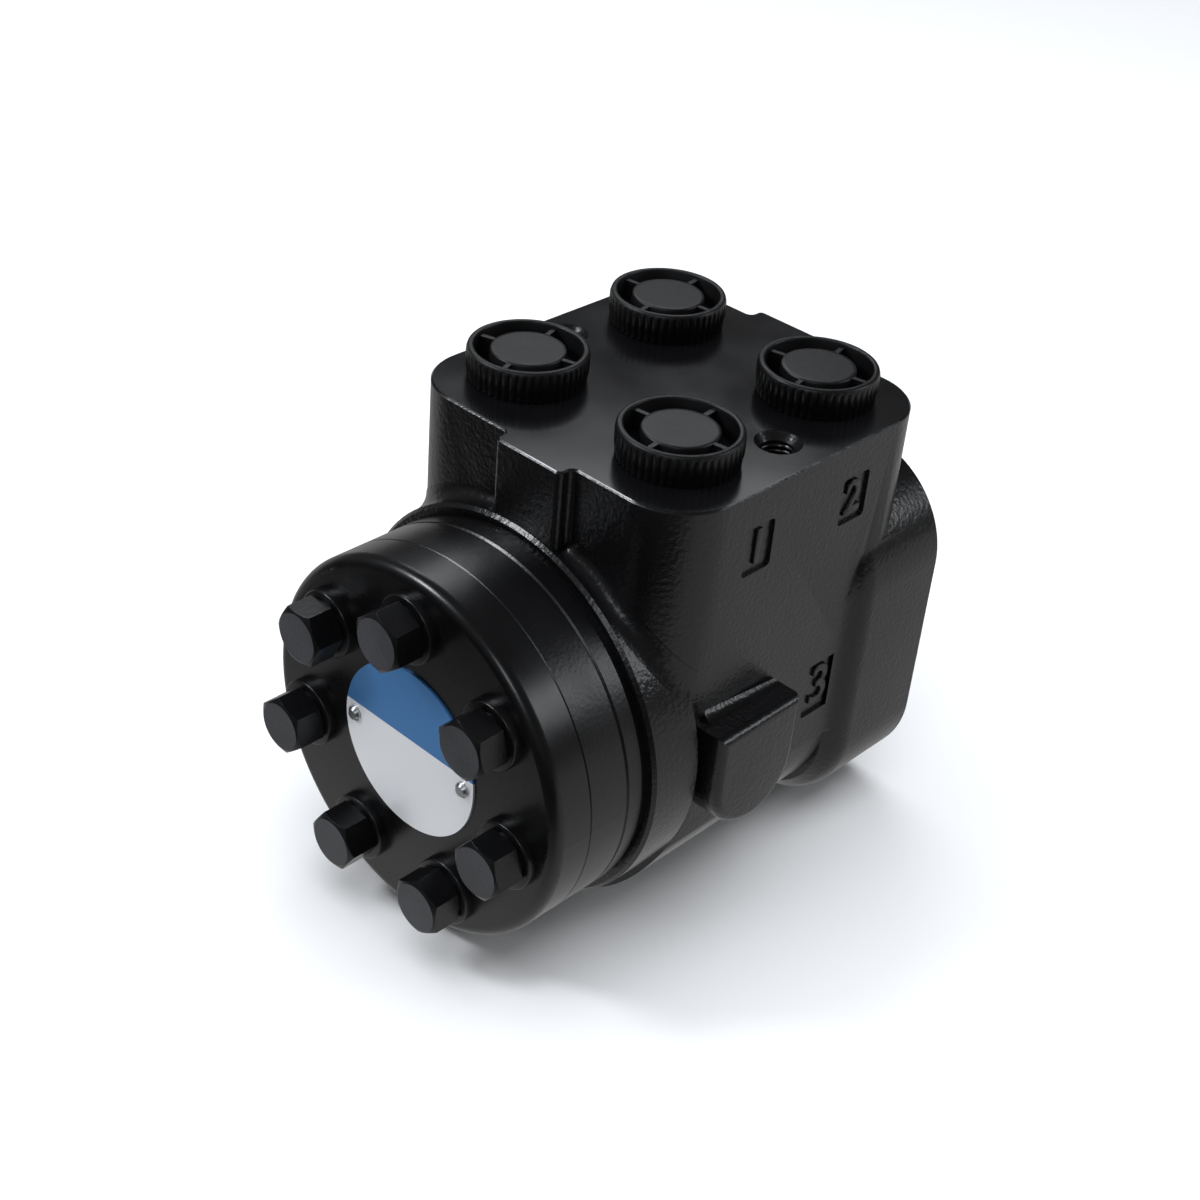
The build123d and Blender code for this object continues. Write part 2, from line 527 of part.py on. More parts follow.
for side in (-1, 1):
    x = side * STUD_HOLE_X
    housing -= stalk(TAP_R, PORT_FACE_Z - STUD_HOLE_DEPTH, PORT_FACE_Z + 1, x, STUD_HOLE_Y)
    mouth = Pos(x, STUD_HOLE_Y, PORT_FACE_Z - TAP_MOUTH / 2) * Cone(TAP_R, TAP_R + TAP_MOUTH, TAP_MOUTH)
    housing -= mouth
for angle in (45, 135, 225, 315):
    x, z = around(angle, COLUMN_PCD / 2)
    housing -= rod(TAP_R, -COLUMN_HOLE_DEPTH, 1, x, z)
    housing -= cone(TAP_R, TAP_R + COLUMN_MOUTH, -COLUMN_MOUTH, 0.001, x, z)

# ---- cover bolts and their washers ----
bolts = []
washers = []
for number, angle in enumerate(BOLT_ANGLES):
    x, z = around(angle, BOLT_PITCH_R)
    washer_front = COVER_FACE - WASHER_T
    head_front = washer_front - HEAD_H
    hexagon = Rot(0, 0, HEAD_TURNS[number]) * RegularPolygon(HEAD_AF / sqrt(3), 6)
    head = across(hexagon, head_front, washer_front - COLLAR_T)
    head = head & (cone(HEAD_AF / 2 - 0.2, HEAD_AF / 2 + 1.4, head_front, head_front + 1.0)
                   + rod(HEAD_AF / 2 + 1.4, head_front + 1.0, washer_front))
    head += rod(HEAD_AF / 2 - 0.2, washer_front - COLLAR_T - 1, washer_front)
    bolt = head + rod(BOLT_R, washer_front - 1, HOUSING_FACE - 1)
    bolt += rod(TAP_R - TAP_GAP, HOUSING_FACE - 2, HOUSING_FACE + BOLT_GRIP)
    bolts.append(Pos(x, 0, z) * bolt)
    washer = tube(WASHER_R, BOLT_R + 0.15, washer_front, COVER_FACE)
    washer = chamfer(washer.edges().group_by(Axis.Y)[0], 0.6)
    washers.append(Pos(x, 0, z) * washer)
cover_bolts = Compound(children=bolts)
bolt_washers = Compound(children=washers)

# ---- O-rings ----
oring_cover = squeezed_ring(RING_FACE - 2 * ORING_WIRE, RING_FACE)
oring_plate = squeezed_ring(PLATE_FACE, PLATE_FACE + 2 * ORING_WIRE)
oring_housing = squeezed_ring(HOUSING_FACE, HOUSING_FACE + 2 * ORING_WIRE)

# ---- name plate and its two rivets ----
name_plate = rod(LABEL_R, COVER_FACE - LABEL_T, COVER_FACE, LABEL_AT[0], LABEL_AT[1])
rivets = []
for side in (-1, 1):
    x = LABEL_AT[0] + side * RIVET_X
    name_plate -= rod(RIVET_SHANK_R + 3 * RIVET_FIT, COVER_FACE - 2, COVER_FACE + 1, x, LABEL_AT[1])
    rivet = rod(RIVET_R, COVER_FACE - LABEL_T - RIVET_H, COVER_FACE - LABEL_T, x, LABEL_AT[1])
    rivet = chamfer(rivet.edges().group_by(Axis.Y)[0], 0.7)
    rivet += rod(RIVET_SHANK_R, COVER_FACE - LABEL_T - 0.5, COVER_FACE + 3.5, x, LABEL_AT[1])
    rivets.append(rivet)
plate_rivets = Compound(children=rivets)

# ---- one port plug: knurled rim, deep well, four ribs, hollow stem ----
plug = Cylinder(PLUG_R, PLUG_H, align=(Align.CENTER, Align.CENTER, Align.MIN))
plug = chamfer(plug.edges().group_by(Axis.Z)[-1], 0.4)
well = Pos(0, 0, PLUG_H - PLUG_WELL / 2) * Cylinder(PLUG_R - PLUG_RIM, PLUG_WELL)
well -= Pos(0, 0, PLUG_H - PLUG_WELL / 2) * Cylinder(PLUG_CORE_R, PLUG_WELL + 1)
plug -= well
for i in range(4):
    rib = Pos((PLUG_CORE_R + PLUG_R - PLUG_RIM) / 2, 0, PLUG_H - PLUG_WELL / 2 - 0.5)
    plug += Rot(0, 0, i * 90) * rib * Box(PLUG_R - PLUG_RIM - PLUG_CORE_R + 1, PLUG_RIB, PLUG_WELL - 1)
plug -= Pos(0, 0, PLUG_H) * Cylinder(PLUG_CORE_R, 2 * PLUG_DROP)
plug += Pos(0, 0, -PLUG_STEM / 2) * Cylinder(PORT_R - PLUG_GAP, PLUG_STEM)
plug -= Pos(0, 0, -PLUG_STEM / 2 - 1) * Cylinder(PORT_R - 2.2, PLUG_STEM + 2)

parts = {
    "housing": housing,
    "end_cover": end_cover,
    "stator_ring": stator_ring,
    "spacer_plate": spacer_plate,
    "cover_bolts": cover_bolts,
    "bolt_washers": bolt_washers,
    "oring_cover": oring_cover,
    "oring_plate": oring_plate,
    "oring_housing": oring_housing,
    "name_plate": name_plate,
    "plate_rivets": plate_rivets,
    "rotor": rotor,
    "orbit_spacer": orbit_spacer,
    "cardan": cardan,
    "sleeve": sleeve,
    "spring_ring": spring_ring,
    "cross_pin": cross_pin,
    "leaf_springs": leaf_springs,
    "spool": spool,
    "race_outer": race_outer,
    "race_inner": race_inner,
    "bearing_cage": cage,
    "bearing_needles": needle_set,
    "shaft_seal": shaft_seal,
    "dust_seal": dust_seal,
}
for number, (x, y) in enumerate(PORTS, start=1):
    turned = Rot(0, 0, PLUG_TURNS[number - 1]) * plug
    parts["port_plug_" + str(number)] = Pos(x, y, PORT_FACE_Z) * turned

os.makedirs("parts", exist_ok=True)
for name, shape in parts.items():
    export_step(shape, "parts/" + name + ".step")
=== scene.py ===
import bmesh
import bpy
from math import atan2, cos, pi, radians, sin, sqrt
from mathutils import Matrix, Vector


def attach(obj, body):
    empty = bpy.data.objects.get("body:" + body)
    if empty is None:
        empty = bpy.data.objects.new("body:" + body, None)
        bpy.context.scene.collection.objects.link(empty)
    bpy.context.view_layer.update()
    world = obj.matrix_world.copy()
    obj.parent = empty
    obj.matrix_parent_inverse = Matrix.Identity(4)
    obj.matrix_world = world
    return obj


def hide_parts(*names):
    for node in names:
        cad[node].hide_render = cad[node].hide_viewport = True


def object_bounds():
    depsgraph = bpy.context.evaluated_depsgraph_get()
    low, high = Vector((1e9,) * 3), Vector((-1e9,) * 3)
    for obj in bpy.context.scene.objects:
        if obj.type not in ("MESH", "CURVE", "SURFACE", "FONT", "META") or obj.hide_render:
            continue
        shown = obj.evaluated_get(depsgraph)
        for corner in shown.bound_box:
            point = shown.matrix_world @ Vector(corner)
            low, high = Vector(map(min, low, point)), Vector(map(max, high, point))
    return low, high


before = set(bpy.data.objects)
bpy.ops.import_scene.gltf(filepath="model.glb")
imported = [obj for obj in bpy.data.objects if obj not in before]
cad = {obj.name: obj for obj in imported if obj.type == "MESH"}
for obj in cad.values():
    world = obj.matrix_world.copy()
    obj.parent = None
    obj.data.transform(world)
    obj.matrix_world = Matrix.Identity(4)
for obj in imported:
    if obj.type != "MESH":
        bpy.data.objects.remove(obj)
cad_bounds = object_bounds()

# ------------------------------------------------------------------ housing
# The body is a grey iron casting, painted black as one with everything bolted to it. The sand
# skin shows as a fine grain under the paint. The port face and the column face were milled
# flat, so they shine evenly.
MM = 0.001
PORT_FACE_Z = 75.0 * MM
COLUMN_FACE_Y = 0.0
MILL_LINE = 0.2 * MM        # the grain stops this far short of a milled face
BLACK = (0.0030, 0.0030, 0.0034)
MILLED_ROUGH = 0.17
CLOUDS = 45.0               # noise scales are per metre
CLOUD_DETAIL = 3.0
CLOUD_LOW = 0.3
CLOUD_HIGH = 0.7
PEEL = 700.0
SKIN_DETAIL = 1.5           # a finer grain would only blur


def cloud(tree, scale, detail):
    """A soft noise that runs through the piece and stays fixed to it."""
    where = tree.nodes.new("ShaderNodeTexCoord")
    noise = tree.nodes.new("ShaderNodeTexNoise")
    noise.inputs["Scale"].default_value = scale
    noise.inputs["Detail"].default_value = detail
    tree.links.new(where.outputs["Object"], noise.inputs["Vector"])
    return noise.outputs["Fac"]


def tinted(tree, fac, colour, darker, paler, low=0.0, high=1.0):
    """Let the colour wander between a darker and a paler tone of itself."""
    ramp = tree.nodes.new("ShaderNodeValToRGB")
    for end, place, part in zip(ramp.color_ramp.elements, (low, high), (darker, paler)):
        end.position = place
        end.color = [c * part for c in colour] + [1.0]
    tree.links.new(fac, ramp.inputs["Fac"])
    tree.links.new(ramp.outputs["Color"], tree.nodes["Principled BSDF"].inputs["Base Color"])


def spread(tree, fac, least, most, low=0.0, high=1.0):
    """Turn the low to high part of a value into a range from least to most."""
    ranged = tree.nodes.new("ShaderNodeMapRange")
    ranged.inputs["From Min"].default_value = low
    ranged.inputs["From Max"].default_value = high
    ranged.inputs["To Min"].default_value = least
    ranged.inputs["To Max"].default_value = most
    tree.links.new(fac, ranged.inputs["Value"])
    return ranged.outputs["Result"]


def along(tree, axis):
    """How far a point of the piece lies along X, Y or Z."""
    where = tree.nodes.new("ShaderNodeTexCoord")
    split = tree.nodes.new("ShaderNodeSeparateXYZ")
    tree.links.new(where.outputs["Object"], split.inputs["Vector"])
    return split.outputs[axis]


def reckoned(tree, operation, first, second):
    """One step of arithmetic, where second is a plain number or the result of another step."""
    step = tree.nodes.new("ShaderNodeMath")
    step.operation = operation
    tree.links.new(first, step.inputs[0])
    if isinstance(second, float):
        step.inputs[1].default_value = second
    else:
        tree.links.new(second, step.inputs[1])
    return step.outputs["Value"]


def relief(tree, height, depth, over=None):
    """Raise the surface by a noise, depth in mm, on top of another relief."""
    bump = tree.nodes.new("ShaderNodeBump")
    bump.inputs["Strength"].default_value = 1.0
    bump.inputs["Distance"].default_value = depth * MM
    tree.links.new(height, bump.inputs["Height"])
    if over is not None:
        tree.links.new(over, bump.inputs["Normal"])
    return bump.outputs["Normal"]


def paint(name, grain, grain_depth, peel_depth, rough, milled=False, colour=BLACK):
    """Black semi-gloss paint over a sand skin. Grain and depths are in mm, grain 0 for no sand."""
    material = bpy.data.materials.new(name)
    material.use_nodes = True
    tree = material.node_tree
    shader = tree.nodes["Principled BSDF"]
    clouds = cloud(tree, CLOUDS, CLOUD_DETAIL)
    tinted(tree, clouds, colour, darker=0.75, paler=1.25, low=CLOUD_LOW, high=CLOUD_HIGH)
    sheen = spread(tree, clouds, least=rough - 0.04, most=rough + 0.05, low=CLOUD_LOW,
                   high=CLOUD_HIGH)
    skin = relief(tree, cloud(tree, PEEL, SKIN_DETAIL), peel_depth)
    if grain:
        sand = cloud(tree, 1.0 / (grain * MM), SKIN_DETAIL)
        if milled:
            below_top = reckoned(tree, "LESS_THAN", along(tree, "Z"), PORT_FACE_Z - MILL_LINE)
            off_back = reckoned(tree, "LESS_THAN", along(tree, "Y"), COLUMN_FACE_Y - MILL_LINE)
            as_cast = reckoned(tree, "MULTIPLY", below_top, off_back)
            sand = reckoned(tree, "MULTIPLY", sand, as_cast)
            cut = reckoned(tree, "SUBTRACT", as_cast, 1.0)
            shine = reckoned(tree, "MULTIPLY", cut, rough - MILLED_ROUGH)
            sheen = reckoned(tree, "ADD", sheen, shine)
        skin = relief(tree, sand, grain_depth, skin)
    tree.links.new(sheen, shader.inputs["Roughness"])
    tree.links.new(skin, shader.inputs["Normal"])
    return material


def shaded(name, bm, material, sharp, bevel=0.0):
    """Make a placed bmesh a smooth-shaded piece, its edges over sharp degrees kept or bevelled."""
    bmesh.ops.remove_doubles(bm, verts=bm.verts, dist=0.5e-6)
    bmesh.ops.recalc_face_normals(bm, faces=bm.faces)
    for face in bm.faces:
        face.smooth = True
    for edge in bm.edges:
        edge.smooth = not (edge.is_manifold and edge.calc_face_angle(0.0) > radians(sharp))
    mesh = bpy.data.meshes.new(name)
    bm.to_mesh(mesh)
    bm.free()
    mesh.materials.append(material)
    obj = bpy.data.objects.new(name, mesh)
    bpy.context.collection.objects.link(obj)
    if bevel:
        rounding = obj.modifiers.new("edge_round", "BEVEL")
        rounding.width = bevel
        rounding.segments = 2
        rounding.limit_method = "ANGLE"
        rounding.angle_limit = radians(sharp)
        rounding.harden_normals = True
    return obj


casting_paint = paint("casting_paint", grain=1.3, grain_depth=0.135, peel_depth=0.004,
                      rough=0.28, milled=True)

# the pattern had generous rounds, so the boss and the rear slab run into the body softly
OUTSIDE_WALL_X = 49.0 * MM
BOSS_TOP_Z = 12.0 * MM
BOSS_END_Y = -60.0 * MM
SLAB_EDGE_Y = -31.0 * MM
SLAB_CREASE_Y = -35.4 * MM
CREASE_ANGLE = radians(20)
CREASE_LONG = 5.0 * MM


def boss_crease(p, q):
    """The long creases where the top of the valve boss meets the side wall."""
    return (min(p.x, q.x) > OUTSIDE_WALL_X and max(p.y, q.y) < BOSS_END_Y
            and abs(p.y - q.y) > CREASE_LONG
            and all(abs(end.z - BOSS_TOP_Z) < 0.1 * MM for end in (p, q)))


def slab_edge(p, q):
    """The edge all round the front of the rear slab."""
    return all(abs(end.y - SLAB_EDGE_Y) < 0.6 * MM for end in (p, q))


def slab_crease(p, q):
    """The crease where the slab's side runs into the wall."""
    return (min(p.x, q.x) > OUTSIDE_WALL_X
            and all(abs(end.y - SLAB_CREASE_Y) < 0.2 * MM for end in (p, q)))


def soften(bm, wanted, width, segments):
    """Round each crease whose two ends pass the test."""
    creases = [e for e in bm.edges if e.is_manifold and e.calc_face_angle(0.0) > CREASE_ANGLE
               and wanted(e.verts[0].co, e.verts[1].co)]
    bmesh.ops.bevel(bm, geom=creases, offset=width, offset_type="OFFSET", segments=segments,
                    profile=0.5, affect="EDGES", clamp_overlap=False, material=-1)


cast_skin = bmesh.new()
cast_skin.from_mesh(cad["housing"].data)
bmesh.ops.remove_doubles(cast_skin, verts=cast_skin.verts, dist=2e-6)
bmesh.ops.dissolve_limit(cast_skin, angle_limit=radians(0.3), verts=cast_skin.verts,
                         edges=cast_skin.edges)
soften(cast_skin, boss_crease, width=3.2 * MM, segments=5)
soften(cast_skin, slab_edge, width=2.4 * MM, segments=5)
soften(cast_skin, slab_crease, width=2.0 * MM, segments=4)
body = shaded("cast_body", cast_skin, casting_paint, sharp=30)
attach(body, "housing")
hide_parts("housing")

# ------------------------------------------------------------------ cast figures
# Plain raised figures stand in the three sunk panels of the side wall, to tell the ports apart.
# They are cast with the body, so they have its paint and grain and their edges are soft.
PANEL_FLOOR_X = 48.6 * MM
FIGURE_RISE = 0.30 * MM
FIGURE_HALF_THICK = 0.20 * MM
FIGURE_SOFT = 0.32 * MM
TYPE_PER_HEIGHT = 1.38
FIGURES = (("1", -78.5 * MM, 58.0 * MM, 9.8 * MM),      # figure, y, z, height
           ("2", -41.0 * MM, 58.0 * MM, 9.8 * MM),
           ("3", -42.0 * MM, -0.5 * MM, 12.5 * MM))
for word, y, z, high in FIGURES:
    curve = bpy.data.curves.new("figure_" + word, "FONT")
    curve.body = word
    curve.size = high * TYPE_PER_HEIGHT
    curve.align_x = "CENTER"
    curve.align_y = "CENTER"
    curve.extrude = FIGURE_HALF_THICK
    curve.bevel_depth = FIGURE_SOFT
    curve.bevel_resolution = 2
    curve.resolution_u = 6
    holder = bpy.data.objects.new("figure_" + word, curve)
    flat = bpy.data.meshes.new_from_object(holder)
    figure = bmesh.new()
    figure.from_mesh(flat)
    bpy.data.objects.remove(holder)
    bpy.data.curves.remove(curve)
    bpy.data.meshes.remove(flat)
    # lying flat, the figure reads along X; it stands up on the wall and faces +X
    for axis in ("X", "Z"):
        bmesh.ops.rotate(figure, verts=figure.verts, cent=(0, 0, 0),
                         matrix=Matrix.Rotation(pi / 2, 3, axis))
    bmesh.ops.translate(figure, verts=figure.verts, vec=(PANEL_FLOOR_X + FIGURE_RISE, y, z))
    figure = shaded("cast_figure_" + word, figure, casting_paint, sharp=50)
    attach(figure, "housing")

# ------------------------------------------------------------------ threads
# Two holes in the port face and four in the column face are tapped into the iron for bolts.
# The drilled wall is in the housing, and only the helical crest of each thread is added here.
STUD_X = 37.0 * MM
STUD_Y = -59.3 * MM
COLUMN_CIRCLE = 41.25 * MM
HOLE_R = 4.25 * MM
PITCH = 1.5 * MM
CREST_HIGH = 0.42 * MM
CREST_HALF_FLAT = 0.1 * MM
CREST_HALF_FOOT = PITCH * 0.36
CREST_SUNK = 0.03 * MM
STEPS_A_TURN = 32


def thread(name, mouth, axis, start, end):
    """The crest on the wall of a tapped hole, from start to end below its mouth."""
    bm = bmesh.new()
    turns = (end - start) / PITCH
    profile = ((HOLE_R + CREST_SUNK, -CREST_HALF_FOOT), (HOLE_R - CREST_HIGH, -CREST_HALF_FLAT),
               (HOLE_R - CREST_HIGH, CREST_HALF_FLAT), (HOLE_R + CREST_SUNK, CREST_HALF_FOOT))
    crest = bm.faces.new([bm.verts.new((r, 0, h)) for r, h in profile])
    bmesh.ops.spin(bm, geom=[crest], cent=(0, 0, 0), axis=(0, 0, 1), angle=2 * pi * turns,
                   dvec=(0, 0, -PITCH / STEPS_A_TURN), steps=int(STEPS_A_TURN * turns))
    bmesh.ops.translate(bm, verts=bm.verts, vec=(0, 0, -start))
    lean = Vector((0, 0, 1)).rotation_difference(Vector(axis)).to_matrix()
    bmesh.ops.rotate(bm, verts=bm.verts, cent=(0, 0, 0), matrix=lean)
    bmesh.ops.translate(bm, verts=bm.verts, vec=mouth)
    obj = shaded(name, bm, casting_paint, sharp=60)
    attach(obj, "housing")


for side, word in ((-1, "left"), (1, "right")):
    thread("port_face_thread_" + word, (side * STUD_X, STUD_Y, PORT_FACE_Z), (0, 0, 1),
           start=2.8 * MM, end=13.5 * MM)
for number in range(4):
    angle = pi / 4 + number * pi / 2
    mouth = (COLUMN_CIRCLE * cos(angle), COLUMN_FACE_Y, COLUMN_CIRCLE * sin(angle))
    thread("column_thread_" + str(number + 1), mouth, (0, 1, 0), start=1.6 * MM, end=16.5 * MM)

# ------------------------------------------------------------------ seals
# Moulded nitrile rubber. The shaft seal and the dust seal are pressed into the column end, and
# the three O-rings lie in grooves between the housing, the plate, the ring and the cover.


def wear(node, material):
    """Give a carried-over node its material."""
    for slot in cad[node].material_slots:
        slot.material = material


rubber = paint("rubber", grain=0.5, grain_depth=0.02, peel_depth=0.004, rough=0.6)
for node in ("shaft_seal", "dust_seal", "oring_housing", "oring_plate", "oring_cover"):
    wear(node, rubber)

# ------------------------------------------------------------------ valve, bearing and gerotor
# The spool turns in the sleeve and a cross pin joins them. Needles between two races take the
# thrust, and the rotor orbits with a loose disc in its bore. All are hardened and ground steel.
SCRATCH_DETAIL = 4.0
POLISH_SPREAD = 0.08


def metal(name, colour, rough, scratch):
    """Bare worked metal, its tone and polish uneven at the scale of its scratches."""
    material = bpy.data.materials.new(name)
    material.use_nodes = True
    tree = material.node_tree
    shader = tree.nodes["Principled BSDF"]
    shader.inputs["Metallic"].default_value = 1.0
    lines = cloud(tree, scratch, SCRATCH_DETAIL)
    tinted(tree, lines, colour, darker=0.8, paler=1.15)
    polish = spread(tree, lines, least=rough - POLISH_SPREAD, most=rough + POLISH_SPREAD)
    tree.links.new(polish, shader.inputs["Roughness"])
    return material


ground = metal("ground_steel", (0.5, 0.5, 0.51), rough=0.24, scratch=500.0)
for node in ("spool", "sleeve", "cross_pin", "race_outer", "race_inner", "bearing_needles",
             "rotor", "orbit_spacer"):
    wear(node, ground)

# ------------------------------------------------------------------ springs and bearing cage
# Flat and bowed leaf springs through the slots of spool and sleeve bring the two back in line,
# and a ring round the sleeve keeps them in. They and the needles' cage are hardened steel strip,
# pressed to shape and left bare.
spring = metal("spring_steel", (0.32, 0.32, 0.34), rough=0.3, scratch=800.0)
for node in ("leaf_springs", "spring_ring", "bearing_cage"):
    wear(node, spring)

# ------------------------------------------------------------------ cardan
# The tilted drive shaft from the cross pin to the rotor, forged and then turned. It is darker
# than the ground pieces because its skin is left as it came from hardening.
wear("cardan", metal("cardan_steel", (0.23, 0.23, 0.24), rough=0.38, scratch=350.0))

# ------------------------------------------------------------------ spacer plate and stator ring
# Two ground steel discs that close in the gerotor, painted over after assembly. Only their
# rims show, smooth apart from a faint orange peel in the paint.
rim_paint = paint("rim_paint", grain=1.1, grain_depth=0.045, peel_depth=0.010, rough=0.31)
wear("spacer_plate", rim_paint)
wear("stator_ring", rim_paint)

# ------------------------------------------------------------------ end cover
# A turned steel cover with a rounded rim, which closes the gerotor. The paint is thinner and
# glossier here than on the casting, with no grain under it.
wear("end_cover", paint("cover_paint", grain=0, grain_depth=0, peel_depth=0.008, rough=0.28))

# ------------------------------------------------------------------ washers
# A thick plain washer under each of the seven cover bolts, punched from steel plate. Its outer
# edge was rounded by tumbling before it was painted.
COVER_FACE_Y = -145.0 * MM
BOLT_CIRCLE = 38.05 * MM
BOLT_COUNT = 7
WASHER_R = 9.2 * MM
WASHER_HOLE = 5.15 * MM
WASHER_HIGH = 2.6 * MM
SOFT = 0.45 * MM
bolt_paint = paint("bolt_paint", grain=0.9, grain_depth=0.05, peel_depth=0.010, rough=0.30)


def turned(bm, profile, steps, axis, centre=(0, 0, 0)):
    """Spin an (r, height) profile a full turn about an axis through centre."""
    verts = [bm.verts.new(Vector(centre) + Vector((1, 0, 0)) * r + Vector(axis) * h)
             for r, h in profile]
    edges = [bm.edges.new(pair) for pair in zip(verts, verts[1:])]
    bmesh.ops.spin(bm, geom=verts + edges, cent=centre, axis=axis, angle=2 * pi, steps=steps,
                   use_merge=True)


def bolt_place(number):
    """Where a bolt's axis meets the cover."""
    angle = 2 * pi * number / BOLT_COUNT
    return Vector((BOLT_CIRCLE * sin(angle), COVER_FACE_Y, BOLT_CIRCLE * cos(angle)))


WASHER_PROFILE = ((WASHER_HOLE, 0), (WASHER_R, 0), (WASHER_R, -WASHER_HIGH + SOFT),
                  (WASHER_R - 0.15 * SOFT, -WASHER_HIGH + 0.5 * SOFT),
                  (WASHER_R - 0.5 * SOFT, -WASHER_HIGH + 0.15 * SOFT),
                  (WASHER_R - SOFT, -WASHER_HIGH), (WASHER_HOLE, -WASHER_HIGH), (WASHER_HOLE, 0))
washers = bmesh.new()
for number in range(BOLT_COUNT):
    turned(washers, WASHER_PROFILE, steps=64, axis=(0, 1, 0), centre=bolt_place(number))
washer_set = shaded("thick_washers", washers, bolt_paint, sharp=35)
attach(washer_set, "housing")
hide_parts("bolt_washers")

# ------------------------------------------------------------------ cover bolts
# Seven hexagon bolts, forged steel, tightened one by one, so every head stopped at its own
# angle. Each head has a chamfered front and a round bearing collar below, all under the paint.
HEAD_TURNS = (8, 14, 20, 2, 26, 10, 33)     # degrees
HEAD_FLATS = 14.4 * MM
HEAD_HIGH = 8.9 * MM
CHAMFER_R = 6.7 * MM
CHAMFER_LEAST = 0.05 * MM
CHAMFER_SLOPE = 0.58
COLLAR_R = 7.0 * MM
COLLAR_HIGH = 0.7 * MM
COLLAR_SOFT = 0.1 * MM
COLLAR_LAP = 0.02 * MM      # the collar reaches this far into the hexagon
SHANK_R = 5.0 * MM
THREAD_R = 4.2 * MM
THREAD_FROM = -114.9 * MM
THREAD_TO = -99.9 * MM
POINT_LONG = 1.0 * MM
POINT_IN = 0.9 * MM
# The head fronts take a paler grey than the black paint. This is a painted highlight, so they read
# brighter, as if lit from the front.
head_front_painted_highlight = paint("bolt_face_painted_highlight", grain=1.1, grain_depth=0.10, peel_depth=0.010, rough=0.50,
                   colour=(0.034, 0.034, 0.038))
PAINTED_HIGHLIGHT_SLOT = 1
HEAD_BACK_Y = COVER_FACE_Y - WASHER_HIGH
SHANK_LONG = THREAD_FROM - HEAD_BACK_Y
BOLT_LONG = THREAD_TO - HEAD_BACK_Y
COLLAR_PROFILE = ((0, -COLLAR_HIGH), (COLLAR_R - COLLAR_SOFT, -COLLAR_HIGH),
                  (COLLAR_R, -COLLAR_HIGH + COLLAR_SOFT), (COLLAR_R, COLLAR_LAP),
                  (0, COLLAR_LAP))
SHANK_PROFILE = ((0, -COLLAR_HIGH), (SHANK_R, -COLLAR_HIGH), (SHANK_R, -SHANK_LONG),
                 (THREAD_R, -SHANK_LONG), (THREAD_R, -BOLT_LONG + POINT_LONG),
                 (THREAD_R - POINT_IN, -BOLT_LONG), (0, -BOLT_LONG))


def drawn_up(bm, edges, rise):
    """Extrude a ring of edges up by rise and return its new corners and edges."""
    made = bmesh.ops.extrude_edge_only(bm, edges=edges)["geom"]
    corners = [part for part in made if isinstance(part, bmesh.types.BMVert)]
    bmesh.ops.translate(bm, verts=corners, vec=(0, 0, rise))
    return corners, [part for part in made if isinstance(part, bmesh.types.BMEdge)]


bolts = bmesh.new()
for number in range(BOLT_COUNT):
    one = bmesh.new()
    bmesh.ops.create_circle(one, segments=6, radius=HEAD_FLATS / sqrt(3), cap_ends=False)
    bmesh.ops.subdivide_edges(one, edges=one.edges[:], cuts=7)
    bmesh.ops.rotate(one, verts=one.verts, cent=(0, 0, 0),
                     matrix=Matrix.Rotation(radians(HEAD_TURNS[number]), 3, "Z"))
    foot = one.edges[:]
    shoulder, shoulder_edges = drawn_up(one, foot, HEAD_HIGH - COLLAR_HIGH)
    face_rim, face_edges = drawn_up(one, shoulder_edges, 0)
    # the further a point of the side is from the axis, the lower the chamfer meets it
    for v in shoulder:
        v.co.z -= max(v.co.xy.length - CHAMFER_R, CHAMFER_LEAST) * CHAMFER_SLOPE
    for v in face_rim:
        v.co.xy *= CHAMFER_R / v.co.xy.length
    # the head fronts take the paler grey, the painted highlight
    for face in bmesh.ops.contextual_create(one, geom=face_edges)["faces"]:
        face.material_index = PAINTED_HIGHLIGHT_SLOT
    bmesh.ops.contextual_create(one, geom=foot)
    turned(one, COLLAR_PROFILE, steps=48, axis=(0, 0, 1))
    turned(one, SHANK_PROFILE, steps=24, axis=(0, 0, 1))
    # the bolt was made with its head along +Z, and its head stands along -Y
    bmesh.ops.translate(one, verts=one.verts, vec=(0, 0, COLLAR_HIGH))
    bmesh.ops.rotate(one, verts=one.verts, cent=(0, 0, 0), matrix=Matrix.Rotation(pi / 2, 3, "X"))
    x, _, z = bolt_place(number)
    bmesh.ops.translate(one, verts=one.verts, vec=(x, HEAD_BACK_Y, z))
    scratch = bpy.data.meshes.new("bolt_" + str(number))
    one.to_mesh(scratch)
    one.free()
    bolts.from_mesh(scratch)
    bpy.data.meshes.remove(scratch)
bolt_set = shaded("hex_bolts", bolts, bolt_paint, sharp=25, bevel=0.22 * MM)
bolt_set.data.materials.append(head_front_painted_highlight)
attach(bolt_set, "housing")
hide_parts("cover_bolts")

